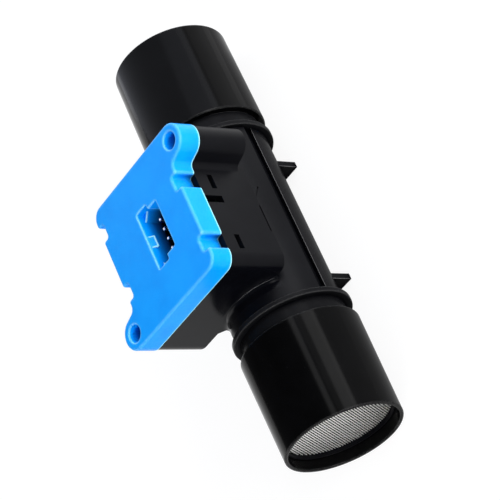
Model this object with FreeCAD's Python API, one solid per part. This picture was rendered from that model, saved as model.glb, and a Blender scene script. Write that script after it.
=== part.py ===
"""Gas flow sensor: a measuring tube with 22 mm cone ports, and a circuit board in a box with a clip-on cover.

Millimetres. X runs along the tube, Z points up. Every piece is modelled with the tube's axis on z = 0,
and is lifted by axis_height when it is written, so that the two feet stand on z = 0.
"""
import FreeCAD, Part
import math
import os

# Tube, flanges and ports: radii step down from the flange
overall_length = 83.2
port_length = 19.74
neck_length = 2.94
flange_thickness = 1.0
flange_radius = 11.22
flange_edge_rounding = 0.2
flange_height = 1.36
port_inset = 0.02
port_taper = 0.23
port_edge_rounding = 0.3
lip_wall = 0.75
screen_seat = 0.92
socket_depth = 5.6
socket_wall = 0.41
spigot_wall = 0.95
throat_step = 0.7
throat_length = 18.0
throat_taper_length = 11.0
tube_wall = 1.4
belly_inset = 1.22
belly_top = -1.1
seal_thickness = 0.4

# Screens in the mouths
screen_depth = 2.9
screen_thickness = 0.3
screen_pitch = 2.0
screen_wire = 0.5
screen_angle = 66.0
screen_ring_length = 0.7
screen_ring_width = 0.32

# Feet under the tube
foot_spacing = 25.16
foot_thickness = 1.15
foot_width = 14.14
foot_drop = 0.18

# Housing: half-round saddle and the open box that overhangs it
saddle_inset = 0.87
saddle_bottom = 0.8
wall_foot = 6.75
column_bottom = 8.2
foot_slope_inset = 1.95
foot_slope_run = 1.3
floor_rise = 0.55
box_depth = 7.65
box_inset = 0.18
box_wall = 1.3
box_foot_rounding = 0.9
seam_start = 0.95
seam_length = 5.55
seam_rise = 0.10
seam_height = 0.26
seam_depth = 0.40
flow_line_place = 3.5
flow_line_angle = 23.4
flow_line_lean = 31.8
flow_line_length = 2.5
flow_line_width = 0.22
flow_line_depth = 0.30
cavity_corner = 1.2
slot_width = 2.95
slot_height = 1.1
slot_drop = 3.75
window_width = 1.45
window_drop = 3.95
post_radius = 1.7

# Cover with its ears, notches and connector well
cover_thickness = 4.33
cover_half_length = 13.68
cover_half_width = 11.53
cover_corner = 2.4
cover_edge_rounding = 0.45
cover_skin = 1.6
cover_side_wall = 3.0
ear_radius = 3.02
ear_reach = 1.78
ear_hole_radius = 1.6
ear_flank_angle = 15.0
ear_blend = 1.2
notch_width = 2.8
notch_depth = 1.53
notch_rounding = 0.5
ear_latch_gap = 6.86
end_latch_gap = 4.68
hook_thickness = 1.2
hook_reach = 0.4
well_wall = 1.1
well_narrow_half = 4.75
well_wide_half = 5.75
well_low = -1.3
well_step = 1.8
well_high = 4.45
well_corner = 0.3
hole_rim_rounding = 0.25
key_width = 2.3
key_height = 1.2
key_reach = 0.6
well_gusset = 1.5
well_gusset_depth = 1.5

# Board and what it carries
board_drop = 3.55
board_thickness = 1.6
board_gap = 0.3
board_corner = 1.0
pin_count = 4
pin_pitch = 2.0
pin_size = 0.5
pin_row_y = 1.35
pin_reach = 5.6
pin_tail = 0.8
pin_point = 0.12
pin_point_size = 0.38
header_height = 1.8
header_margin = 1.2
header_half_width = 2.4
screw_gap = 0.45
screw_edge_gap = 0.1
screw_radius = 0.95
screw_head_radius = 1.7
screw_head_height = 1.2
screw_length = 5.2
blade_length = 8.0
blade_thickness = 0.8
blade_bottom = -2.5
blade_tongue = 5.0
gasket_length = 12.0
gasket_width = 4.4
gasket_sink = 0.8
die_length = 3.0
die_height = 1.6
die_thickness = 0.4
bond_cap_height = 1.1
bond_cap_thickness = 0.6
chip_edge_gap = 2.15
controller_size = 4.0
controller_height = 0.85
amplifier_size = 3.0
amplifier_x = 5.0
regulator_length = 2.9
regulator_width = 1.6
regulator_x = -5.0
chip_height = 1.1
small_edge_gap = 2.5
small_places = (0.0, 2.4, 4.8)
small_length = 1.6
small_width = 0.8
capacitor_height = 0.8
resistor_height = 0.45

# Fits
clearance = 0.1
press_clearance = 0.05

axis_height = flange_radius + foot_drop
half_length = overall_length / 2
port_base = half_length - port_length
flange_outer_face = port_base - neck_length
flange_inner_face = flange_outer_face - flange_thickness
port_base_radius = flange_radius - port_inset
port_tip_radius = port_base_radius - port_taper
mouth_radius = port_tip_radius - lip_wall
port_bore_radius = mouth_radius - screen_seat
neck_radius = flange_radius - flange_height
socket_radius = neck_radius - socket_wall
tube_bore_radius = socket_radius - spigot_wall
throat_radius = tube_bore_radius - throat_step
tube_radius = throat_radius + tube_wall
belly_radius = flange_radius - belly_inset
saddle_radius = flange_radius - saddle_inset
saddle_half = flange_inner_face - clearance
tube_half = port_base + socket_depth - seal_thickness
screen_face = half_length - screen_depth

box_floor = saddle_radius + floor_rise
box_top = box_floor + box_depth
slot_bottom = box_top - slot_drop
window_bottom = box_top - window_drop
box_half_x = cover_half_length - box_inset
wall_outer_y = cover_half_width - box_inset
wall_inner_y = wall_outer_y - box_wall
cavity_half_x = box_half_x - box_wall
cover_top = box_top + cover_thickness
ear_hole_x = cover_half_length - ear_radius
ear_hole_y = cover_half_width + ear_reach
latch_places = (ear_latch_gap - ear_hole_x, cover_half_length - end_latch_gap)

board_top = box_top - board_drop
board_bottom = board_top - board_thickness
board_half_x = cavity_half_x - board_gap
board_half_y = wall_inner_y - board_gap
hook_outer_y = wall_inner_y - clearance
hook_inner_y = hook_outer_y - hook_thickness
well_bottom = board_top + board_gap
screw_x = board_half_x - screw_head_radius - screw_edge_gap
screw_y = hook_inner_y - screw_head_radius - screw_gap
chip_row_y = controller_size / 2 + chip_edge_gap - board_half_y
small_column_x = board_half_x - small_edge_gap
pin_places = [(i - (pin_count - 1) / 2) * pin_pitch for i in range(pin_count)]

ORIGIN = FreeCAD.Vector(0, 0, 0)
ALONG_X = FreeCAD.Vector(1, 0, 0)
UP = FreeCAD.Vector(0, 0, 1)


def vec(x, y, z=0.0):
    return FreeCAD.Vector(x, y, z)


def block(x_span, y_span, z_span):
    """A box between two limits on each axis."""
    corner = vec(x_span[0], y_span[0], z_span[0])
    sides = [span[1] - span[0] for span in (x_span, y_span, z_span)]
    return Part.makeBox(sides[0], sides[1], sides[2], corner)


def post(x, y, radius, z_span):
    """An upright cylinder."""
    return Part.makeCylinder(radius, z_span[1] - z_span[0], vec(x, y, z_span[0]))


def rod(radius, x_span):
    """A cylinder along the tube's axis."""
    return Part.makeCylinder(radius, x_span[1] - x_span[0], vec(x_span[0], 0, 0), ALONG_X)


def rounded_wire(corners):
    """A closed outline in XY through corners of (x, y, rounding), with an arc at each rounded corner."""
    points = [vec(x, y) for x, y, _ in corners]
    edges = []
    starts = []
    ends = []
    for i, (_, _, rounding) in enumerate(corners):
        here = points[i]
        to_last = (points[i - 1] - here).normalize()
        to_next = (points[(i + 1) % len(points)] - here).normalize()
        half_angle = to_last.getAngle(to_next) / 2
        run = rounding / math.tan(half_angle)
        starts.append(here + to_last * run)
        ends.append(here + to_next * run)
        if rounding > 0:
            inward = (to_last + to_next).normalize()
            centre = here + inward * (rounding / math.sin(half_angle))
            edges.append((i, Part.Arc(starts[i], centre - inward * rounding, ends[i]).toShape()))
    arcs = dict(edges)
    path = []
    for i in range(len(corners)):
        if i in arcs:
            path.append(arcs[i])
        follower = starts[(i + 1) % len(corners)]
        if ends[i].distanceToPoint(follower) > Part.Precision.confusion():
            path.append(Part.LineSegment(ends[i], follower).toShape())
    return Part.Wire(path)


def prism(corners, z_span):
    """A rounded outline raised between two heights."""
    face = Part.Face(rounded_wire(corners))
    face.translate(vec(0, 0, z_span[0]))
    return face.extrude(vec(0, 0, z_span[1] - z_span[0]))


def rounded_rectangle(half_x, half_y, rounding):
    """The corners of a rounded rectangle about the origin."""
    signs = ((1, 1), (-1, 1), (-1, -1), (1, -1))
    return [(sx * half_x, sy * half_y, rounding) for sx, sy in signs]


def turned(corners):
    """A half profile of (x, radius, rounding) spun about the tube's axis."""
    face = Part.Face(rounded_wire(corners))
    return face.revolve(ORIGIN, ALONG_X, 360)


def half_turned(shape):
    """A copy turned half round the vertical axis, where the far side repeats the near one."""
    copy = shape.copy()
    copy.rotate(ORIGIN, UP, 180)
    return copy


def both_ways(shape):
    """The shape and its half-turned copy."""
    return [shape, half_turned(shape)]


def cut_all(shape, tools):
    for tool in tools:
        shape = shape.cut(tool)
    return shape


def fuse_all(shapes):
    whole = shapes[0]
    for other in shapes[1:]:
        whole = whole.fuse(other)
    return whole.removeSplitter()


def ear_outline(inset):
    """The cover's outline, drawn in by inset: a rounded oblong with an ear at two opposite corners."""
    half_x = cover_half_length - inset
    half_y = cover_half_width - inset
    radius = ear_radius - inset
    lean = math.radians(ear_flank_angle)
    ear_top = ear_hole_y + radius
    touch_x = -ear_hole_x + radius * math.cos(lean)
    touch_y = ear_hole_y + radius * math.sin(lean)
    flank_top = touch_x - (ear_top - touch_y) * math.tan(lean)
    flank_foot = touch_x + (touch_y - half_y) * math.tan(lean)
    near_half = [
        (half_x, half_y, cover_corner - inset),
        (flank_foot, half_y, ear_blend),
        (flank_top, ear_top, radius),
        (-half_x, ear_top, radius),
    ]
    return near_half + [(-x, -y, rounding) for x, y, rounding in near_half]


def cover_outline():
    """The cover's outline with its four notches, so that the rounded rim can run through them."""
    corners = ear_outline(0)
    bottom_y = cover_half_width - notch_depth
    notches = []
    for place in sorted(latch_places, reverse=True):
        start, end = place + notch_width / 2, place - notch_width / 2
        notches += [(start, cover_half_width), (start, bottom_y), (end, bottom_y), (end, cover_half_width)]
    near_notches = [(x, y, notch_rounding) for x, y in notches]
    far_notches = [(-x, -y, notch_rounding) for x, y in notches]
    half = len(corners) // 2
    return corners[:1] + near_notches + corners[1:half + 1] + far_notches + corners[half + 1:]


def ear_holes(z_span):
    return both_ways(post(-ear_hole_x, ear_hole_y, ear_hole_radius, z_span))


def latch_blocks(width, y_span, z_span):
    """One block at each of the four latches, two on each long side."""
    blocks = []
    for place in latch_places:
        side = block((place - width / 2, place + width / 2), y_span, z_span)
        blocks += both_ways(side)
    return blocks


def flow_tube():
    """The measuring tube: its bore narrows to a throat, and two flanges hold the housing between them."""
    barrel = rod(tube_radius, (-flange_inner_face, flange_inner_face))
    belly = rod(belly_radius, (-flange_inner_face, flange_inner_face))
    below = block((-half_length, half_length), (-flange_radius, flange_radius), (-flange_radius, belly_top))
    belly = belly.common(below)
    foot_half = foot_width / 2
    feet = []
    for place in (-foot_spacing / 2, foot_spacing / 2):
        x_span = (place - foot_thickness / 2, place + foot_thickness / 2)
        feet.append(block(x_span, (-foot_half, foot_half), (-axis_height, belly_top)))
    ends = []
    for side in (-1, 1):
        ends.append(turned([
            (side * flange_inner_face, 0, 0),
            (side * flange_inner_face, flange_radius, flange_edge_rounding),
            (side * flange_outer_face, flange_radius, flange_edge_rounding),
            (side * flange_outer_face, neck_radius, 0),
            (side * port_base, neck_radius, 0),
            (side * port_base, socket_radius - press_clearance, 0),
            (side * tube_half, socket_radius - press_clearance, 0),
            (side * tube_half, 0, 0),
        ]))
    body = fuse_all([barrel, belly] + feet + ends)
    throat_half = throat_length / 2
    taper_end = throat_half + throat_taper_length
    bore = turned([
        (-tube_half, 0, 0),
        (-tube_half, tube_bore_radius, 0),
        (-taper_end, tube_bore_radius, 0),
        (-throat_half, throat_radius, 0),
        (throat_half, throat_radius, 0),
        (taper_end, tube_bore_radius, 0),
        (tube_half, tube_bore_radius, 0),
        (tube_half, 0, 0),
    ])
    return cut_all(body, [bore, blade_slot()])


def blade_slot():
    """The slot that the sensor blade passes through, in the tube's crown and in the box's floor."""
    reach_x = blade_length / 2 + clearance
    reach_y = blade_thickness / 2 + clearance
    return block((-reach_x, reach_x), (-reach_y, reach_y), (0, box_floor))


def port(side):
    """A 22 mm cone pressed on the tube's end, with a seat for the screen inside its mouth."""
    seat = screen_face - screen_thickness
    return turned([
        (side * port_base, socket_radius, 0),
        (side * port_base, port_base_radius, port_edge_rounding),
        (side * half_length, port_tip_radius, port_edge_rounding),
        (side * half_length, mouth_radius, port_edge_rounding),
        (side * seat, mouth_radius, 0),
        (side * seat, port_bore_radius, 0),
        (side * (port_base + socket_depth), port_bore_radius - tube_wall / 2, 0),
        (side * (port_base + socket_depth), socket_radius, 0),
    ])


def ring(side, x_span, radii):
    """A flat ring about the tube's axis."""
    inner, outer = radii
    return turned([
        (side * x_span[0], inner, 0),
        (side * x_span[0], outer, 0),
        (side * x_span[1], outer, 0),
        (side * x_span[1], inner, 0),
    ])


def screen_ring(side):
    """The narrow ring that holds the screen on its seat."""
    outer = mouth_radius - press_clearance
    return ring(side, (screen_face, screen_face + screen_ring_length), (outer - screen_ring_width, outer))


def seal(side):
    """The flat ring between the tube's end and the shoulder in the port."""
    outer = socket_radius - clearance
    return ring(side, (tube_half, tube_half + seal_thickness), (tube_bore_radius, outer))


def screen(side):
    """A wire screen: a layer of parallel wires behind a layer that crosses it, both cut to a disc."""
    radius = mouth_radius - clearance
    back = screen_face - screen_thickness
    middle = screen_face - screen_thickness / 2
    rows = int((radius - screen_wire) / screen_pitch)
    wires = []
    for layer, angle in (((back, middle), screen_angle), ((middle, screen_face), screen_angle + 90)):
        x_span = sorted((side * layer[0], side * layer[1]))
        disc = rod(radius, x_span)
        for row in range(-rows, rows + 1):
            place = row * screen_pitch
            wire = block(x_span, (-radius, radius), (place - screen_wire / 2, place + screen_wire / 2))
            wire.rotate(ORIGIN, ALONG_X, angle)
            wires.append(wire.common(disc))
    return Part.makeCompound(wires)


def sensor_housing():
    """The half-round saddle over the tube, and the open box and ear columns that stand on it."""
    x_span = (-saddle_half, saddle_half)
    over_joint = block(x_span, (-saddle_radius, saddle_radius), (saddle_bottom, saddle_radius))
    saddle = rod(saddle_radius, x_span).common(over_joint)
    walls = prism(rounded_rectangle(box_half_x, wall_outer_y, cover_corner - box_inset), (wall_foot, box_top))
    walls = cut_all(walls, both_ways(column_foot_cut()))
    columns = prism(ear_outline(box_inset), (column_bottom, box_top))
    body = fuse_all([saddle, walls, columns] + box_foot_fillets())
    cavity = prism(rounded_rectangle(cavity_half_x, wall_inner_y, cavity_corner), (box_floor, box_top))
    tube_seat = rod(tube_radius + clearance, x_span)
    body = cut_all(body, [cavity, tube_seat, blade_slot(), gasket_block(clearance)])
    body = cut_all(body, ear_holes((column_bottom, box_top)))
    wall_span = (wall_inner_y - clearance, wall_outer_y + clearance)
    slots = latch_blocks(slot_width, wall_span, (slot_bottom, slot_bottom + slot_height))
    half_window = window_width / 2
    window = block((-half_window, half_window), wall_span, (window_bottom, box_top))
    seam = block(
        (seam_start, seam_start + seam_length),
        (wall_outer_y - seam_depth, wall_outer_y + clearance),
        (wall_foot + seam_rise, wall_foot + seam_rise + seam_height),
    )
    body = cut_all(body, slots + both_ways(window) + both_ways(seam) + both_ways(flow_line()))
    for x, y in board_corners():
        body = body.fuse(post(x, y, post_radius, (box_floor, board_bottom)))
    for x, y in screw_places():
        pilot = screw_radius + press_clearance
        body = body.cut(post(x, y, pilot, (board_top - screw_length - clearance, board_bottom)))
    return body.removeSplitter()


def flow_line():
    """The fine slanted line that the moulding left on the saddle's side, just below the box's wall."""
    reach = flow_line_length / 2
    half_width = flow_line_width / 2
    line = block(
        (-reach, reach),
        (-half_width, half_width),
        (saddle_radius - flow_line_depth, saddle_radius + clearance),
    )
    line.rotate(ORIGIN, UP, -flow_line_lean)
    line.rotate(ORIGIN, ALONG_X, flow_line_angle - 90)
    line.translate(vec(-flow_line_place, 0, 0))
    return line


def column_foot_cut():
    """The wedge left out of the box's underside below an ear column, up to the column's own foot."""
    slope_top = wall_outer_y - foot_slope_inset
    slope_foot = slope_top - foot_slope_run
    outside = wall_outer_y + clearance
    profile = [
        vec(0, outside, wall_foot),
        vec(0, outside, column_bottom),
        vec(0, slope_top, column_bottom),
        vec(0, slope_foot, wall_foot),
    ]
    face = Part.Face(Part.makePolygon(profile + profile[:1]))
    face.translate(vec(-box_half_x, 0, 0))
    return face.extrude(vec(ear_radius * 2, 0, 0))


def box_foot_fillets():
    """The hollow roundings where the box's end walls rise from the saddle, one at each end."""
    start = math.degrees(math.asin(wall_foot / saddle_radius))
    half_x = box_half_x
    rise = min(box_foot_rounding, saddle_half - half_x)
    corner = vec(half_x, saddle_radius)
    foot = vec(half_x + rise, saddle_radius)
    crown = vec(half_x, saddle_radius + rise)
    centre = vec(half_x + rise, saddle_radius + rise)
    hollow = centre + (corner - centre).normalize() * rise
    under = vec(0, -rise)
    outline = Part.Wire([
        Part.Arc(foot, hollow, crown).toShape(),
        Part.LineSegment(crown, corner + under).toShape(),
        Part.LineSegment(corner + under, foot + under).toShape(),
        Part.LineSegment(foot + under, foot).toShape(),
    ])
    face = Part.Face(outline)
    face.rotate(ORIGIN, ALONG_X, start)
    return both_ways(face.revolve(ORIGIN, ALONG_X, 180 - 2 * start))


def board_corners():
    """Where the board lies on posts: two of them take screws."""
    return [(sx * screw_x, sy * screw_y) for sx in (-1, 1) for sy in (-1, 1)]


def screw_places():
    return [(screw_x, screw_y), (-screw_x, -screw_y)]


def well_outline(grow):
    """The stepped opening of the connector well, wider at its low side, drawn out by grow."""
    narrow = well_narrow_half + grow
    wide = well_wide_half + grow
    low, step, high = well_low - grow, well_step + grow, well_high + grow
    return [
        (-wide, low, well_corner),
        (wide, low, well_corner),
        (wide, step, well_corner),
        (narrow, step, well_corner),
        (narrow, high, well_corner),
        (-narrow, high, well_corner),
        (-narrow, step, well_corner),
        (-wide, step, well_corner),
    ]


def top_rims(shape, x, y, reach):
    """The shape's edges that lie in the cover's top face within a reach of (x, y)."""
    rims = []
    for edge in shape.Edges:
        at_top = all(abs(v.Z - cover_top) < Part.Precision.confusion() for v in edge.Vertexes)
        if at_top and all(math.hypot(v.X - x, v.Y - y) < reach for v in edge.Vertexes):
            rims.append(edge)
    return rims


def hole_rims(shape):
    """The rims of the connector well and of the two ear holes."""
    well_middle = (well_low + well_high) / 2
    well_reach = math.hypot(well_wide_half, well_high - well_middle)
    rims = top_rims(shape, 0, well_middle, well_reach)
    for side in (-1, 1):
        rims += top_rims(shape, -side * ear_hole_x, side * ear_hole_y, ear_hole_radius + clearance)
    return rims


def cover():
    """The clip-on lid: a hollow plate with ears, latch hooks under its notches and a connector well."""
    plate = prism(cover_outline(), (box_top, cover_top))
    plate = plate.makeFillet(cover_edge_rounding, top_rims(plate, 0, 0, overall_length))
    hollow_x = cavity_half_x
    hollow_y = cover_half_width - cover_side_wall
    hollow = prism(rounded_rectangle(hollow_x, hollow_y, cavity_corner), (box_top, cover_top - cover_skin))
    plate = cut_all(plate, [hollow] + ear_holes((box_top, cover_top)))
    well = prism(well_outline(well_wall), (well_bottom, cover_top - cover_edge_rounding))
    plate = fuse_all([plate, well] + hooks())
    plate = plate.cut(prism(well_outline(0), (well_bottom, cover_top)))
    plate = plate.makeFillet(hole_rim_rounding, hole_rims(plate))
    return fuse_all([plate, key_rib()] + well_gussets())


def hooks():
    """Four legs that hang inside the box's walls, each with a barb that catches in a slot."""
    width = notch_width - 2 * clearance
    tip = slot_bottom - clearance
    barb_top = slot_bottom + slot_height - clearance
    barb_y = hook_outer_y + hook_reach
    profile = [
        vec(0, hook_inner_y, tip),
        vec(0, hook_outer_y, tip),
        vec(0, hook_outer_y, slot_bottom + clearance),
        vec(0, barb_y, slot_bottom + slot_height / 2),
        vec(0, barb_y, barb_top),
        vec(0, hook_outer_y, barb_top),
        vec(0, hook_outer_y, box_top + cover_skin / 2),
        vec(0, hook_inner_y, box_top + cover_skin / 2),
    ]
    face = Part.Face(Part.makePolygon(profile + profile[:1]))
    legs = []
    for place in latch_places:
        leg = face.extrude(vec(width, 0, 0))
        leg.translate(vec(place - width / 2, 0, 0))
        legs += both_ways(leg)
    return legs


def key_rib():
    """The ramp on the well's low side that a plug's latch rides over."""
    top = cover_top - cover_edge_rounding
    profile = [
        vec(0, well_low - well_wall / 2, top),
        vec(0, well_low, top),
        vec(0, well_low + key_reach, top - key_height),
        vec(0, well_low - well_wall / 2, top - key_height),
    ]
    rib = Part.Face(Part.makePolygon(profile + profile[:1])).extrude(vec(key_width, 0, 0))
    rib.translate(vec(-key_width / 2, 0, 0))
    return rib


def well_gussets():
    """A slanted stop in each low corner of the well."""
    top = cover_top - well_gusset_depth
    gussets = []
    for side in (-1, 1):
        corner_x = side * (well_wide_half + well_wall / 2)
        corner_y = well_low - well_wall / 2
        reach = well_gusset + well_wall / 2
        outline = [
            vec(corner_x, corner_y, well_bottom),
            vec(corner_x - side * reach, corner_y, well_bottom),
            vec(corner_x - side * reach, well_low, well_bottom),
            vec(side * well_wide_half, corner_y + reach, well_bottom),
            vec(corner_x, corner_y + reach, well_bottom),
        ]
        face = Part.Face(Part.makePolygon(outline + outline[:1]))
        gussets.append(face.extrude(vec(0, 0, top - well_bottom)))
    return gussets


def circuit_board():
    """The board, notched round the cover's hooks and pierced for pins, screws and the blade's tongue."""
    z_span = (board_bottom, board_top)
    board = prism(rounded_rectangle(board_half_x, board_half_y, board_corner), z_span)
    notch_span = (hook_inner_y - board_gap, board_half_y + clearance)
    tools = latch_blocks(notch_width + 2 * board_gap, notch_span, z_span)
    tools += [post(x, y, screw_radius + clearance, z_span) for x, y in screw_places()]
    tools += [pin_block(place, z_span, press_clearance) for place in pin_places]
    tools.append(tongue_block(press_clearance))
    return cut_all(board, tools)


def pin_block(place, z_span, gap):
    reach = pin_size / 2 + gap
    return block((place - reach, place + reach), (pin_row_y - reach, pin_row_y + reach), z_span)


def pin_tip(place):
    """The blunt point of a pin: four slopes from its square shank up to a small flat."""
    top = board_top + pin_reach
    sections = []
    for size, z in ((pin_size, top - pin_point), (pin_point_size, top)):
        wire = rounded_wire(rounded_rectangle(size / 2, size / 2, 0))
        wire.translate(vec(place, pin_row_y, z))
        sections.append(wire)
    return Part.makeLoft(sections, True, True)


def header_pins():
    """The row of square contact pins, through the board and up into the well."""
    z_span = (board_bottom - pin_tail, board_top + pin_reach - pin_point)
    return Part.makeCompound([pin_block(place, z_span, 0).fuse(pin_tip(place)) for place in pin_places])


def header_base():
    """The strip that carries the pins on the board."""
    half_x = (pin_count - 1) * pin_pitch / 2 + header_margin
    z_span = (board_top, board_top + header_height)
    y_span = (pin_row_y - header_half_width, pin_row_y + header_half_width)
    strip = block((-half_x, half_x), y_span, z_span)
    return cut_all(strip, [pin_block(place, z_span, press_clearance) for place in pin_places])


def tongue_block(gap):
    """The narrow upper end of the blade, soldered in a slot of the board."""
    reach_x = blade_tongue / 2 + gap
    reach_y = blade_thickness / 2 + gap
    return block((-reach_x, reach_x), (-reach_y, reach_y), (board_bottom, board_top))


def sensor_blade():
    """The thin carrier that stands along the stream, from the board down past the tube's axis."""
    half_x = blade_length / 2
    half_y = blade_thickness / 2
    blade = block((-half_x, half_x), (-half_y, half_y), (blade_bottom, board_bottom))
    return fuse_all([blade, tongue_block(0)])


def sensing_die():
    half_x = die_length / 2
    y_span = (blade_thickness / 2, blade_thickness / 2 + die_thickness)
    return block((-half_x, half_x), y_span, (-die_height / 2, die_height / 2))


def bond_cap():
    """The drop of resin over the chip's bond wires."""
    half_x = die_length / 2
    y_span = (blade_thickness / 2, blade_thickness / 2 + bond_cap_thickness)
    low = die_height / 2
    drop = block((-half_x, half_x), y_span, (low, low + bond_cap_height))
    outer = [e for e in drop.Edges if all(v.Y > y_span[1] - press_clearance for v in e.Vertexes)]
    return drop.makeFillet(bond_cap_thickness / 2, outer)


def gasket_block(gap):
    half_x = gasket_length / 2 + gap
    half_y = gasket_width / 2 + gap
    return block((-half_x, half_x), (-half_y, half_y), (box_floor - gasket_sink, board_bottom))


def blade_gasket():
    """The soft block pressed into a pocket of the box's floor, grooved to clear the pins' tails."""
    reach_x = pin_places[-1] + pin_size / 2 + clearance
    reach_y = pin_size / 2 + clearance
    z_span = (board_bottom - pin_tail - clearance, board_bottom)
    groove = block((-reach_x, reach_x), (pin_row_y - reach_y, pin_row_y + reach_y), z_span)
    return cut_all(gasket_block(0), [sensor_blade(), groove])


def board_screws():
    """Two pan-head screws that hold the board on its posts."""
    screws = []
    for x, y in screw_places():
        head = post(x, y, screw_head_radius, (board_top, board_top + screw_head_height))
        crown = [e for e in head.Edges if e.BoundBox.ZMin > board_top + screw_head_height / 2]
        head = head.makeFillet(screw_head_height / 2, crown)
        shank = post(x, y, screw_radius, (board_top - screw_length, board_top))
        screws.append(fuse_all([head, shank]))
    return Part.makeCompound(screws)


def chip(x, y, length, width, height):
    """A flat component on the board's top face."""
    z_span = (board_top, board_top + height)
    return block((x - length / 2, x + length / 2), (y - width / 2, y + width / 2), z_span)


def small_chips(side, height):
    """A column of like small components near one end of the board."""
    x = side * small_column_x
    return Part.makeCompound([chip(x, -side * y, small_length, small_width, height) for y in small_places])


def save(name, shape):
    """Lifts a finished piece on to its feet and writes it."""
    placed = shape.copy()
    placed.translate(vec(0, 0, axis_height))
    placed.exportStep("parts/" + name + ".step")


def main():
    os.makedirs("parts", exist_ok=True)
    save("flow_tube", flow_tube())
    save("sensor_housing", sensor_housing())
    for name, side in (("inlet", -1), ("outlet", 1)):
        save(name + "_port", port(side))
        save(name + "_screen", screen(side))
        save(name + "_screen_ring", screen_ring(side))
        save(name + "_seal", seal(side))
    save("cover", cover())
    save("circuit_board", circuit_board())
    save("header_base", header_base())
    save("header_pins", header_pins())
    save("sensor_blade", sensor_blade())
    save("sensing_die", sensing_die())
    save("bond_cap", bond_cap())
    save("blade_gasket", blade_gasket())
    save("board_screws", board_screws())
    save("microcontroller", chip(0, chip_row_y, controller_size, controller_size, controller_height))
    save("signal_amplifier", chip(amplifier_x, chip_row_y, amplifier_size, amplifier_size, chip_height))
    save("voltage_regulator", chip(regulator_x, chip_row_y, regulator_length, regulator_width, chip_height))
    save("ceramic_capacitors", small_chips(-1, capacitor_height))
    save("chip_resistors", small_chips(1, resistor_height))


main()
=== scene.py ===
# %% [markdown]
# # A gas flow sensor for a breathing circuit
#
# The part is a black plastic measuring tube with a 22 mm cone at each end. A box on its back
# holds the electronics under a bright blue cover. The CAD model already has every solid in its
# place, in metres, so this lesson only dresses it: a camera, light, finishes, and the woven wire
# that is too fine for a CAD solid.

# %% Load the CAD frame
import math

import bpy
from mathutils import Matrix, Vector


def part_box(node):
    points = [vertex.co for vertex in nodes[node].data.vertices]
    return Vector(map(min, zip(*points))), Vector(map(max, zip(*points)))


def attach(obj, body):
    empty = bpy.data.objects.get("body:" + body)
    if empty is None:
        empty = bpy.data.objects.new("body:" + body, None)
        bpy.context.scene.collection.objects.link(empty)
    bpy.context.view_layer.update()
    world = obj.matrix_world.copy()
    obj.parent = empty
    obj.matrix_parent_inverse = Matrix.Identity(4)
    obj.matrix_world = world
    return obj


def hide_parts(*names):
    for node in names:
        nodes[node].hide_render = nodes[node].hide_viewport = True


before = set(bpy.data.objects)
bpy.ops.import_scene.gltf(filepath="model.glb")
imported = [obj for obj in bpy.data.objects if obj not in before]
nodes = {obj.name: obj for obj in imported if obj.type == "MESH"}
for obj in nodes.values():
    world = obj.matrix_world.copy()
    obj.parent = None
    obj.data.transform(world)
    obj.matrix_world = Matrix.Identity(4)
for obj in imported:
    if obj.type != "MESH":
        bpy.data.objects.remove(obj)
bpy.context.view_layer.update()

MM = 0.001


# %% [markdown]
# ## The camera
#
# The photo was taken with a long lens from above one corner, and it is rolled so far that the tube
# runs steeply down the picture. A camera can be turned by hand until it looks right, but matching
# a dozen corners of the real object to their places in the picture gives the position, the
# direction and the roll at once. Here the result is written as the three axes of the camera: its
# right, its up, and the cross product of the two, which points back towards the viewer.

# %% Camera at the photo's place
camera_place = Vector((183.387, 233.368, 262.691)) * MM
camera_right = Vector((0.370701, 0.528504, -0.763717))
camera_up = Vector((-0.801650, 0.597303, 0.024230))
camera_back = camera_right.cross(camera_up)
focal_in_pixels = 2185.3
picture_width = 500

camera_data = bpy.data.cameras.new("photo_camera")
camera_data.sensor_width = 36.0
camera_data.lens = camera_data.sensor_width * focal_in_pixels / picture_width
camera_data.clip_start = 1 * MM
camera = bpy.data.objects.new("photo_camera", camera_data)
turn = Matrix((camera_right, camera_up, camera_back)).transposed().to_4x4()
camera.matrix_world = Matrix.Translation(camera_place) @ turn
bpy.context.scene.collection.objects.link(camera)
bpy.context.scene.camera = camera
bpy.context.scene.view_settings.view_transform = "Standard"
print("lens", round(camera_data.lens, 1), "mm")

# %% [markdown]
# ## A pale floor
#
# The product shot has a plain white ground. A single flat plane would do for the photo's view, but
# a low camera would look past its end into the dark. So the floor curves up into a low rim far
# away, as a paper sweep does in a studio: a disc, and rings of faces that climb a quarter of a
# circle.

# %% Floor with a rim
floor_radius = 2.6
floor_drop = 0.05 * MM
rim_rise = 0.45
rim_steps = 8
floor_sides = 96

points = []
for step in range(rim_steps + 1):
    climb = 0.5 * math.pi * step / rim_steps
    radius = floor_radius + rim_rise * math.sin(climb)
    height = rim_rise * (1 - math.cos(climb)) - floor_drop
    for side in range(floor_sides):
        angle = 2 * math.pi * side / floor_sides
        points.append((radius * math.cos(angle), radius * math.sin(angle), height))
faces = [tuple(range(floor_sides))]
for step in range(rim_steps):
    for side in range(floor_sides):
        a = step * floor_sides + side
        b = step * floor_sides + (side + 1) % floor_sides
        faces.append((a, a + floor_sides, b + floor_sides, b))

floor_mesh = bpy.data.meshes.new("floor")
floor_mesh.from_pydata(points, [], faces)
floor_mesh.polygons.foreach_set("use_smooth", [False] + [True] * (len(faces) - 1))
floor = bpy.data.objects.new("floor", floor_mesh)
bpy.context.scene.collection.objects.link(floor)
print("floor", 2 * floor_radius, "m wide, rim", rim_rise, "m high")

# %% [markdown]
# ## White, with a shadow
#
# A floor that is only painted white turns grey wherever the light is weak, so this one also glows
# a little for rays that come straight from the camera or from a mirror. The rest of its brightness
# is real light, and that part still shows the soft shadow of the sensor. In a mirror the glow
# fades close to the sensor, where a real floor lies in its shade: that keeps the lower edges of
# the black tube dark.

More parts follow.
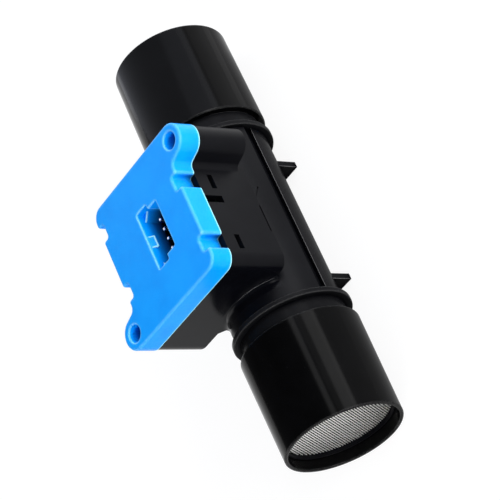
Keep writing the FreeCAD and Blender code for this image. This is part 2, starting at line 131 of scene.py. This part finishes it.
# %% The floor's two looks
floor_white = 0.80
floor_lit_share = 0.20


def matt_grey(tree, level):
    """A matt shader of that grey."""
    matt = tree.nodes.new("ShaderNodeBsdfDiffuse")
    matt.inputs["Color"].default_value = (level, level, level, 1)
    return matt.outputs[0]


floor_paint = bpy.data.materials.new("pale_floor")
floor_paint.use_nodes = True
tree = floor_paint.node_tree
tree.nodes.clear()
plain = matt_grey(tree, floor_white)
glow = tree.nodes.new("ShaderNodeEmission")
seen = tree.nodes.new("ShaderNodeAddShader")
tree.links.new(matt_grey(tree, floor_lit_share), seen.inputs[0])
tree.links.new(glow.outputs[0], seen.inputs[1])
print("floor looks: plain for light, glowing for the eye")

# %% Fade the glow near the sensor
floor_glow = 0.85
shade_reach = 40 * MM
shade_samples = 8


def calculate(tree, operation, first, second=None):
    """The result of a Math node on one or two sockets."""
    math_node = tree.nodes.new("ShaderNodeMath")
    math_node.operation = operation
    tree.links.new(first, math_node.inputs[0])
    if second is not None:
        tree.links.new(second, math_node.inputs[1])
    return math_node.outputs[0]


ray = tree.nodes.new("ShaderNodeLightPath")
from_camera = ray.outputs["Is Camera Ray"]
shade = tree.nodes.new("ShaderNodeAmbientOcclusion")
shade.samples = shade_samples
shade.inputs["Distance"].default_value = shade_reach
strength = tree.nodes.new("ShaderNodeMath")
strength.operation = "MULTIPLY"
strength.inputs[1].default_value = floor_glow
tree.links.new(calculate(tree, "MAXIMUM", shade.outputs["AO"], from_camera), strength.inputs[0])
tree.links.new(strength.outputs[0], glow.inputs["Strength"])
print("floor glow", floor_glow, "fades within", shade_reach, "m of the sensor")

# %% Show the glow to the camera and to mirrors
reflected, let_through = ray.outputs["Is Glossy Ray"], ray.outputs["Is Transmission Ray"]
mirrored = calculate(tree, "MAXIMUM", reflected, let_through)
choice = tree.nodes.new("ShaderNodeMixShader")
tree.links.new(calculate(tree, "MAXIMUM", from_camera, mirrored), choice.inputs[0])
tree.links.new(plain, choice.inputs[1])
tree.links.new(seen.outputs[0], choice.inputs[2])
paint_output = tree.nodes.new("ShaderNodeOutputMaterial")
tree.links.new(choice.outputs[0], paint_output.inputs["Surface"])
floor_mesh.materials.append(floor_paint)
print("floor paint:", floor_paint.name)

# %% [markdown]
# ## Studio light
#
# Black plastic shows almost nothing but what it mirrors. One large soft lamp would light the rest
# of the sensor, yet leave the tube a flat black shape. So the lights fall into two groups: soft
# lamps light the blue cover and the wire, and flat panels are there for the plastic to mirror.
# Both are area lights that the camera can't see. A lamp is set by how bright it makes the sensor,
# and a panel by how bright it looks itself.

# %% One area light
plain_white = (1.0, 1.0, 1.0)


def area_light(name, size, power, place, back, tint=plain_white):
    """A rectangular light, size = (width, height), with its back in that direction."""
    data = bpy.data.lights.new(name, "AREA")
    data.shape = "RECTANGLE"
    data.size, data.size_y = size
    data.energy = power
    data.color = tint
    light = bpy.data.objects.new(name, data)
    light.location = place
    light.rotation_euler = back.to_track_quat("Z", "Y").to_euler()
    light.visible_camera = False
    bpy.context.scene.collection.objects.link(light)


print("area lights ready")

# %% A lamp and a panel
lamp_target = Vector((0, 0, 12 * MM))
lamp_distance = 0.6


def soft_lamp(name, direction, size, level):
    """A lamp that looks at the sensor. Level is how bright it makes a white card facing it."""
    away = Vector(direction).normalized()
    power = level * (math.pi * lamp_distance) ** 2
    area_light(name, size, power, lamp_target + away * lamp_distance, away)
    print(name, "level", level)


def mirror_panel(name, centre, facing, size, glow, tint=plain_white):
    """A flat panel for the plastic to mirror. Glow is how bright the panel itself looks."""
    width, height = size
    power = glow * math.pi * width * height
    area_light(name, size, power, Vector(centre), -Vector(facing), tint)
    print(name, "glow", glow)


print("lamps will stand", lamp_distance, "m from the sensor")

# %% [markdown]
# ## Lamps and panels
#
# Three soft lamps stand low on the viewer's side and behind, where the tube can't mirror them into
# the camera, and leave the bottom of the connector well dark. Six panels are where the sensor does
# mirror them. The low and the high strip draw the pale streaks along the near cone, and the dim
# middle strip fills the gap between the two. The wide panel and the corner panel, a little cool in
# colour, lie as a soft sheen on the far cone, the cover and the tips of the pins, and a card on
# the floor does the same for the far cone's lower side. A dark grey sky leaves the rest of the
# plastic deep black.

# %% Soft lamps
soft_lamp("side_lamp", direction=(0.35, 0.90, 0.25), size=(0.30, 0.30), level=0.68)
soft_lamp("front_lamp", direction=(0.88, -0.05, 0.40), size=(0.60, 0.02), level=0.60)
soft_lamp("back_lamp", direction=(0.30, -0.90, 0.30), size=(0.40, 0.40), level=0.25)

# %% Strips along the near cone
mirror_panel("low_strip", (-0.12, 0.45, 0.13), facing=(0, -1, 0),
             size=(0.32, 0.20), glow=4.2)
mirror_panel("middle_strip", (-0.08, 0.39, 0.252), facing=(0, -0.85, -0.53),
             size=(0.40, 0.093), glow=1.1)
mirror_panel("high_strip", (-0.04, 0.33, 0.347), facing=(0, -0.69, -0.72),
             size=(0.48, 0.074), glow=3.1)

# %% Panels for the far cone and the cover
cool_white = (0.93, 0.97, 1.10)
mirror_panel("wide_panel", (-0.30, -0.075, 0.25), facing=(1, 0, 0),
             size=(0.69, 0.50), glow=1.35, tint=cool_white)
mirror_panel("corner_panel", (-0.30, 0.41, 0.25), facing=(1, 0, 0),
             size=(0.28, 0.50), glow=2.2, tint=cool_white)
mirror_panel("floor_card", (-0.06, 0.055, 0.001), facing=(0, 0, 1),
             size=(0.08, 0.08), glow=0.6)

# %% Sky
sky_grey = (0.10, 0.10, 0.105, 1)
sky = bpy.data.worlds.new("studio_sky")
sky.use_nodes = True
sky.node_tree.nodes["Background"].inputs["Color"].default_value = sky_grey
bpy.context.scene.world = sky
print("sky", sky_grey[:3])

# %% [markdown]
# ## How a finish is made
#
# Every finish starts from the Principled shader. Moulded plastic is never one flat colour: the
# steel mould leaves a fine grain, and colour and gloss vary a little from place to place. An image
# could hold that, but a Noise texture in the object's own coordinates needs no unwrapping and
# stays sharp from close by. Map Range then turns the noise into the values that a socket needs.

# %% Start a finish
def start_finish(name):
    """A new material, its node tree, its shader, and the socket of places on the object."""
    finish = bpy.data.materials.new(name)
    finish.use_nodes = True
    tree = finish.node_tree
    place = tree.nodes.new("ShaderNodeTexCoord")
    return finish, tree, tree.nodes["Principled BSDF"], place.outputs["Object"]


def noise(tree, place, size, detail=2.0):
    """Noise whose lumps are about size metres wide."""
    texture = tree.nodes.new("ShaderNodeTexNoise")
    texture.inputs["Scale"].default_value = 1 / size
    texture.inputs["Detail"].default_value = detail
    tree.links.new(place, texture.inputs["Vector"])
    return texture.outputs["Fac"]


def spread(tree, source, low, high, start=0.3, end=0.7):
    """Maps what lies between start and end to the values between low and high."""
    span = tree.nodes.new("ShaderNodeMapRange")
    span.inputs["From Min"].default_value = start
    span.inputs["From Max"].default_value = end
    span.inputs["To Min"].default_value = low
    span.inputs["To Max"].default_value = high
    tree.links.new(source, span.inputs["Value"])
    return span.outputs["Result"]


print("noise helpers ready")

# %% Blend colours and raise a grain
def blend_colours(tree, share, first, second):
    """A mix of two colours. Each is a colour or a socket."""
    mix = tree.nodes.new("ShaderNodeMix")
    mix.data_type = "RGBA"
    tree.links.new(share, mix.inputs["Factor"])
    for socket, colour in ((mix.inputs["A"], first), (mix.inputs["B"], second)):
        if isinstance(colour, bpy.types.NodeSocket):
            tree.links.new(colour, socket)
        else:
            socket.default_value = (*colour, 1)
    return mix.outputs["Result"]


def relief(tree, height, depth, strength, normal=None):
    """A bump of that depth, in metres, on top of a normal."""
    bump = tree.nodes.new("ShaderNodeBump")
    bump.inputs["Distance"].default_value = depth
    bump.inputs["Strength"].default_value = strength
    tree.links.new(height, bump.inputs["Height"])
    if normal is not None:
        tree.links.new(normal, bump.inputs["Normal"])
    return bump.outputs["Normal"]


print("colour and grain helpers ready")

# %% [markdown]
# ## Edges of moulded plastic
#
# An edge of a moulded piece is slightly round and a little rubbed, so it catches the light.
# Cutting that round into the mesh would add many faces. The Bevel node softens the highlight
# instead. The Ambient Occlusion node, turned to look inwards, finds the outer edges for a paler
# colour, which stands partly for rubbed wear and partly for a painted highlight: a short ray into
# the plastic soon comes out again there, and not in a corner or on a flat.

# %% Soft edges
edge_samples = 6
share_on_flat, share_on_edge = 0.97, 0.65


def soft_edges(tree, radius, rim):
    """The normal, rounded by radius at edges, and a mask: 1 on an outer edge, 0 at rim from it."""
    bevel = tree.nodes.new("ShaderNodeBevel")
    bevel.samples = edge_samples
    bevel.inputs["Radius"].default_value = radius
    inward = tree.nodes.new("ShaderNodeAmbientOcclusion")
    inward.inside = True
    inward.only_local = True
    inward.samples = edge_samples
    inward.inputs["Distance"].default_value = rim
    mask = spread(tree, inward.outputs["AO"], 0.0, 1.0, share_on_flat, share_on_edge)
    return bevel.outputs["Normal"], mask


print("soft edges ready")

# %% Moulded plastic
rim_per_radius = 1.5
cloud_size = 4 * MM
plastic_detail = 3
plastic_bump = 0.5


def moulded_plastic(name, dark, light, edge, gloss, grain, grain_depth, edge_radius,
                    specular=0.5, rim=None):
    """Two near colours, edges paled by wear and a painted highlight, a fine grain, gloss =
    (lowest, highest) roughness.
    """
    finish, tree, shader, place = start_finish(name)
    cloud = noise(tree, place, cloud_size, plastic_detail)
    tone = blend_colours(tree, spread(tree, cloud, 0, 1), dark, light)
    round_normal, wear_and_highlight_edge = soft_edges(tree, edge_radius, rim or rim_per_radius * edge_radius)
    # The paler edge colour is partly rubbed wear and partly a painted highlight.
    tree.links.new(blend_colours(tree, wear_and_highlight_edge, tone, edge), shader.inputs["Base Color"])
    fine = noise(tree, place, grain, plastic_detail)
    tree.links.new(spread(tree, fine, *gloss), shader.inputs["Roughness"])
    grained_normal = relief(tree, fine, grain_depth, plastic_bump, round_normal)
    tree.links.new(grained_normal, shader.inputs["Normal"])
    shader.inputs["Specular IOR Level"].default_value = specular
    return finish


print("moulded plastic ready")

# %% [markdown]
# ## Recesses and polished places
#
# Slots, grooves and the connector well are dark on the real sensor, and a mirror in them sees only
# other black plastic. The light of a small studio still reaches into them here. Each could get a
# darker material of its own, but the Ambient Occlusion node, this time looking outwards, finds
# them all, and the helper paints shade into them: it takes colour and gloss out of deep places.
# The other helper does the opposite. It smooths the plastic in a band near each end of the
# housing, where the mould is polished.

# %% Shade recesses
recess_samples = 6
# Painted shade: the colour that deep places are darkened towards, while their gloss is taken away.
painted_shade_colour = (0.0002, 0.0004, 0.0012)


def split_place(tree):
    """The X, Y and Z of a place on the object."""
    axes = tree.nodes.new("ShaderNodeSeparateXYZ")
    tree.links.new(tree.nodes["Texture Coordinate"].outputs["Object"], axes.inputs[0])
    return axes.outputs


def paint_recess_shade(finish, reach, start, end, clear_above=None):
    """Paints shade into recesses: takes colour and gloss out of them, but not above the heights
    light gets to.
    """
    tree = finish.node_tree
    sockets = tree.nodes["Principled BSDF"].inputs
    outward = tree.nodes.new("ShaderNodeAmbientOcclusion")
    outward.samples = recess_samples
    outward.inputs["Distance"].default_value = reach
    lit_share = spread(tree, outward.outputs["AO"], 0.0, 1.0, start, end)
    if clear_above is not None:
        above = spread(tree, split_place(tree)["Z"], 0.0, 1.0, *clear_above)
        lit_share = calculate(tree, "MAXIMUM", lit_share, above)
    colour = sockets["Base Color"].links[0].from_socket
    shaded = blend_colours(tree, lit_share, painted_shade_colour, colour)
    tree.links.new(shaded, sockets["Base Color"])
    roughness = sockets["Roughness"].links[0].from_socket
    dullness = spread(tree, lit_share, 1.0, 0.0, 0.0, 1.0)
    tree.links.new(calculate(tree, "MAXIMUM", roughness, dullness), sockets["Roughness"])


print("recess shading ready")

# %% Polish a band at each end
def polish_bands(finish, start, end, lowest, fade, share):
    """Lowers the roughness to that share between two distances from the middle, above lowest."""
    tree = finish.node_tree
    roughness = tree.nodes["Principled BSDF"].inputs["Roughness"]
    place = split_place(tree)
    distance = calculate(tree, "ABSOLUTE", place["X"])
    before = spread(tree, distance, 1.0, share, start - fade, start)
    after = spread(tree, distance, share, 1.0, end, end + fade)
    below = spread(tree, place["Z"], 1.0, share, lowest - fade, lowest)
    outside = calculate(tree, "MAXIMUM", calculate(tree, "MAXIMUM", before, after), below)
    smoother = calculate(tree, "MULTIPLY", roughness.links[0].from_socket, outside)
    tree.links.new(smoother, roughness)


print("polish ready")

# %% [markdown]
# ## The black plastics
#
# Three blacks show. The housing is satin, and polished where the foot of the box runs into the
# saddle. The tube is smoother and a touch greyer, and the cones are the smoothest. The thin rims
# of tube and cones are paler, partly as rubbed wear and partly as a painted highlight. One black
# for all three would be quicker, but then the pieces would melt into each other. A colour is
# written here as the plastic itself has it, in linear light, and the lamps do the rest, except for
# the pale rims and the painted shade in recesses.

# %% Housing
body_plastic = moulded_plastic(
    "body_black", dark=(0.0015, 0.0016, 0.0027), light=(0.0025, 0.0027, 0.0040),
    edge=(0.004, 0.004, 0.005), gloss=(0.34, 0.46), specular=0.095,
    grain=0.12 * MM, grain_depth=0.008 * MM, edge_radius=0.04 * MM,
)
low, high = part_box("outlet_port")
tube_axis = 0.5 * (low.z + high.z)
box_foot = tube_axis + 6.8 * MM
polish_bands(body_plastic, start=13.6 * MM, end=15.2 * MM,
             lowest=box_foot, fade=0.6 * MM, share=0.35)
# Painted shade: the housing's slots and grooves are darkened within this reach.
painted_shade_reach = 2.5 * MM
paint_recess_shade(body_plastic, painted_shade_reach, start=0.16, end=0.36)
print("housing:", body_plastic.name, "polished above z", round(box_foot / MM, 2), "mm")

# %% Tube and cones
# The pale edge colours of tube and cones are partly rubbed wear and partly a painted highlight.
tube_plastic = moulded_plastic(
    "tube_black", dark=(0.0066, 0.0067, 0.0075), light=(0.0086, 0.0087, 0.0095),
    edge=(0.13, 0.13, 0.13), gloss=(0.18, 0.27), specular=0.024,
    grain=0.12 * MM, grain_depth=0.006 * MM, edge_radius=0.10 * MM,
)
# Painted shade in the tube's slit and in the grooves under the flanges.
paint_recess_shade(tube_plastic, painted_shade_reach, start=0.52, end=0.78)
cone_plastic = moulded_plastic(
    "port_black", dark=(0.0009, 0.0009, 0.0010), light=(0.0015, 0.0015, 0.0017),
    edge=(0.14, 0.14, 0.14), gloss=(0.11, 0.16), specular=0.06,
    grain=0.10 * MM, grain_depth=0.002 * MM, edge_radius=0.25 * MM, rim=0.16 * MM,
)
print("tube and cones:", tube_plastic.name, cone_plastic.name)

# %% [markdown]
# ## The blue cover
#
# The cover is a saturated blue, and its thin edges get a paler colour as a painted highlight. Its
# connector well is painted from blue to nearly black with depth, a painted shade, while the
# outside stays clear. The lamps alone would light the well's floor too. So the painted recess
# shade has a long reach here, and two heights tell it where the light still gets in.

# %% Blue plastic
# The pale edge colour of the cover is a painted highlight.
cover_plastic = moulded_plastic(
    "cover_blue", dark=(0.0005, 0.305, 0.95), light=(0.0015, 0.345, 1.0),
    edge=(0.42, 0.90, 0.98), gloss=(0.24, 0.32), specular=0.11,
    grain=0.14 * MM, grain_depth=0.006 * MM, edge_radius=0.22 * MM,
)
cover_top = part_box("cover")[1].z
# Painted shade: below these heights the connector well darkens with depth.
lit_heights = (cover_top - 5.0 * MM, cover_top - 1.5 * MM)
paint_recess_shade(cover_plastic, reach=8 * MM, start=0.40, end=0.62, clear_above=lit_heights)
print("cover:", cover_plastic.name, "top at z", round(cover_top / MM, 2), "mm")

# %% [markdown]
# ## Inside finishes
#
# Soft sealing rubber, black chip resin, the header's plastic, pale ceramic and a grey chip make up
# much of the inside. Little of it shows through the slots, the window and the connector well, and
# one dark grey would do for the photo's view. Yet someone may open the model and take the cover
# off, so each gets its own finish, from the same helper.

# %% Rubber, resin and the header's plastic
rubber = moulded_plastic(
    "seal_rubber", dark=(0.015, 0.015, 0.016), light=(0.024, 0.023, 0.023),
    edge=(0.035, 0.034, 0.034), gloss=(0.70, 0.85), specular=0.3,
    grain=0.20 * MM, grain_depth=0.015 * MM, edge_radius=0.05 * MM,
)
chip_resin = moulded_plastic(
    "chip_resin", dark=(0.012, 0.012, 0.013), light=(0.022, 0.022, 0.024),
    edge=(0.045, 0.045, 0.047), gloss=(0.50, 0.66), specular=0.4,
    grain=0.06 * MM, grain_depth=0.004 * MM, edge_radius=0.04 * MM,
)
header_plastic = moulded_plastic(
    "header_plastic", dark=(0.006, 0.006, 0.007), light=(0.010, 0.010, 0.011),
    edge=(0.025, 0.025, 0.026), gloss=(0.42, 0.52),
    grain=0.08 * MM, grain_depth=0.004 * MM, edge_radius=0.06 * MM,
)
print("dark finishes:", rubber.name, chip_resin.name, header_plastic.name)

# %% Ceramic and silicon
chip_ceramic = moulded_plastic(
    "chip_ceramic", dark=(0.42, 0.31, 0.20), light=(0.52, 0.40, 0.27),
    edge=(0.62, 0.55, 0.45), gloss=(0.40, 0.55),
    grain=0.05 * MM, grain_depth=0.002 * MM, edge_radius=0.04 * MM,
)
die_silicon = moulded_plastic(
    "die_silicon", dark=(0.10, 0.11, 0.13), light=(0.14, 0.15, 0.18),
    edge=(0.24, 0.25, 0.28), gloss=(0.10, 0.18), specular=0.8,
    grain=0.05 * MM, grain_depth=0.001 * MM, edge_radius=0.03 * MM,
)
print("hard finishes:", chip_ceramic.name, die_silicon.name)

# %% [markdown]
# ## The circuit board
#
# The board is glass cloth in resin under a dark green varnish, and the threads show faintly
# through it. Threads of real geometry would be far too many, and an image would need unwrapping.
# A Wave texture gives the stripes of the cloth, and noise makes the varnish a little uneven.

# %% Board laminate
fibre_pitch = 2.2 * MM
fibre_waver = 0.6
fibre_depth = 0.004 * MM
fibre_bump = 0.4
varnish_grain = 0.3 * MM
varnish_gloss = (0.25, 0.40)
dark_green, light_green = (0.0012, 0.0050, 0.0028), (0.0020, 0.0085, 0.0045)

laminate, tree, shader, place = start_finish("board_laminate")
weave = tree.nodes.new("ShaderNodeTexWave")
weave.inputs["Scale"].default_value = 1 / fibre_pitch
weave.inputs["Distortion"].default_value = fibre_waver
tree.links.new(place, weave.inputs["Vector"])
fibre = spread(tree, weave.outputs["Fac"], 0, 1, start=0.0, end=1.0)
tree.links.new(blend_colours(tree, fibre, dark_green, light_green), shader.inputs["Base Color"])
varnish = noise(tree, place, varnish_grain)
tree.links.new(spread(tree, varnish, *varnish_gloss), shader.inputs["Roughness"])
threads = relief(tree, weave.outputs["Fac"], fibre_depth, fibre_bump)
tree.links.new(threads, shader.inputs["Normal"])
print("laminate:", laminate.name)

# %% [markdown]
# ## Metals
#
# The contact pins are tinned and bright, the screws are plain steel, and the screen wire has a
# dull, etched skin. A glossy grey would look like paint, because a metal takes its colour from
# what it mirrors. So one noise drives the tone, the polish and the fine relief together. The wire
# is only partly metallic: so thin and dull, it looks pale from every side.

# %% Pins, screws and wire
metal_detail = 3
metal_bump = 0.4


def worked_metal(name, dark, light, gloss, grain, grain_depth, metallic=1.0):
    """Bare metal with two near tones and a fine uneven polish."""
    finish, tree, shader, place = start_finish(name)
    shader.inputs["Metallic"].default_value = metallic
    fine = noise(tree, place, grain, metal_detail)
    tone = blend_colours(tree, spread(tree, fine, 0, 1), dark, light)
    tree.links.new(tone, shader.inputs["Base Color"])
    tree.links.new(spread(tree, fine, *gloss), shader.inputs["Roughness"])
    tree.links.new(relief(tree, fine, grain_depth, metal_bump), shader.inputs["Normal"])
    return finish


pin_metal = worked_metal(
    "pin_metal", dark=(0.84, 0.82, 0.78), light=(0.93, 0.92, 0.89),
    gloss=(0.18, 0.30), grain=0.10 * MM, grain_depth=0.002 * MM,
)
screw_steel = worked_metal(
    "screw_steel", dark=(0.50, 0.50, 0.51), light=(0.64, 0.64, 0.65),
    gloss=(0.25, 0.42), grain=0.15 * MM, grain_depth=0.004 * MM,
)
wire_steel = worked_metal(
    "screen_wire", dark=(0.84, 0.84, 0.82), light=(0.95, 0.95, 0.93),
    gloss=(0.40, 0.55), grain=0.05 * MM, grain_depth=0.001 * MM, metallic=0.4,
)
print("metals:", pin_metal.name, screw_steel.name, wire_steel.name)

# %% [markdown]
# ## Dress the solids
#
# Each CAD solid comes with a named slot for its finish. Each could be given its material by hand,
# but most of them follow their slot, so a table from slot to finish does it in one loop. Three
# pieces differ from their slot: the tube has its own black, and the two rings round the screens
# lie so deep in the mouths that they get the housing's satin black, without bright rims.

# %% Dress the CAD solids
finish_of_slot = {
    "body_black": body_plastic, "port_black": cone_plastic, "cover_blue": cover_plastic,
    "screen_wire": wire_steel, "seal_rubber": rubber, "board_laminate": laminate,
    "header_plastic": header_plastic, "pin_metal": pin_metal, "die_silicon": die_silicon,
    "chip_resin": chip_resin, "chip_ceramic": chip_ceramic, "screw_steel": screw_steel,
}
for solid in nodes.values():
    for index, old in enumerate(solid.data.materials):
        solid.data.materials[index] = finish_of_slot[old.name.split(".")[0]]
nodes["flow_tube"].data.materials[0] = tube_plastic
for ring in ("inlet_screen_ring", "outlet_screen_ring"):
    nodes[ring].data.materials[0] = body_plastic
print("dressed", len(nodes), "solids")

# %% [markdown]
# ## Woven wire screens
#
# Each cone has a disc of woven steel wire that smooths the gas stream. A picture of a weave on a
# flat disc would fall apart from the side, and the CAD solids are only a coarse grid of bars. In
# this cloth stout straight wires lie side by side, and fine wires hold them: each goes over one
# stout wire and under the next, which is a cosine. So a wire is a thin tube swept along a cosine,
# and for a stout one the cosine has no height. Both screens share one mesh, and the second is
# turned by half a turn.

# %% Weave one wire
weave_pitch = 0.452 * MM
weave_angle = math.radians(61)
turn_cos, turn_sin = math.cos(weave_angle), math.sin(weave_angle)
stout_width = 0.165 * MM
fine_width = 0.04 * MM
fine_sway = 0.5 * (stout_width + fine_width)
tube_sides = 8
steps_per_crossing = 6


def add_wire(points, faces, offset, half_length, width, sway, phase, across):
    """Adds one tube at that offset from the middle; across lays it over the stout wires."""
    steps = round(2 * half_length / weave_pitch * steps_per_crossing) if sway else 1
    first = len(points)
    for step in range(steps + 1):
        along = -half_length + 2 * half_length * step / steps
        wave = sway * math.cos(math.pi * along / weave_pitch + phase)
        for side in range(tube_sides):
            angle = 2 * math.pi * side / tube_sides
            aside = offset + 0.5 * width * math.cos(angle)
            height = wave + 0.5 * width * math.sin(angle)
            y, z = (aside, along) if across else (along, aside)
            points.append((height, y * turn_cos - z * turn_sin, y * turn_sin + z * turn_cos))
    for step in range(steps):
        for side in range(tube_sides):
            a = first + step * tube_sides + side
            b = first + step * tube_sides + (side + 1) % tube_sides
            faces.append((a, b, b + tube_sides, a + tube_sides))
    last = first + steps * tube_sides
    faces.append(tuple(first + side for side in reversed(range(tube_sides))))
    faces.append(tuple(last + side for side in range(tube_sides)))


print("stout wire", stout_width / MM, "mm, fine wire", fine_width / MM, "mm")

# %% Weave the disc
fine_every = 2
low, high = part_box("outlet_screen")
screen_radius = 0.5 * (high.y - low.y) - stout_width
points, faces = [], []
count = int(screen_radius / weave_pitch)
fine_count = 0
for row in range(-count, count + 1):
    offset = row * weave_pitch
    half_length = math.sqrt(screen_radius ** 2 - offset ** 2)
    add_wire(points, faces, offset, half_length, stout_width, sway=0.0, phase=0.0, across=False)
    if row % fine_every == 0:
        phase = math.pi * (row // fine_every % 2)
        add_wire(points, faces, offset, half_length, fine_width, fine_sway, phase, across=True)
        fine_count += 1
weave_mesh = bpy.data.meshes.new("screen_weave")
weave_mesh.from_pydata(points, [], faces)
weave_mesh.polygons.foreach_set("use_smooth", [True] * len(faces))
weave_mesh.materials.append(wire_steel)
print("weave:", 2 * count + 1, "stout wires,", fine_count, "fine wires,", len(faces), "faces")

# %% Hang a disc in each cone
for node_name, half_turn in (("outlet_screen", 0.0), ("inlet_screen", math.pi)):
    low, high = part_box(node_name)
    disc = bpy.data.objects.new(node_name + "_weave", weave_mesh)
    disc.matrix_world = Matrix.Translation((low + high) / 2) @ Matrix.Rotation(half_turn, 4, "Z")
    bpy.context.scene.collection.objects.link(disc)
    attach(disc, "root")
    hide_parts(node_name)
    print(disc.name, "at x", round(disc.location.x / MM, 2), "mm")
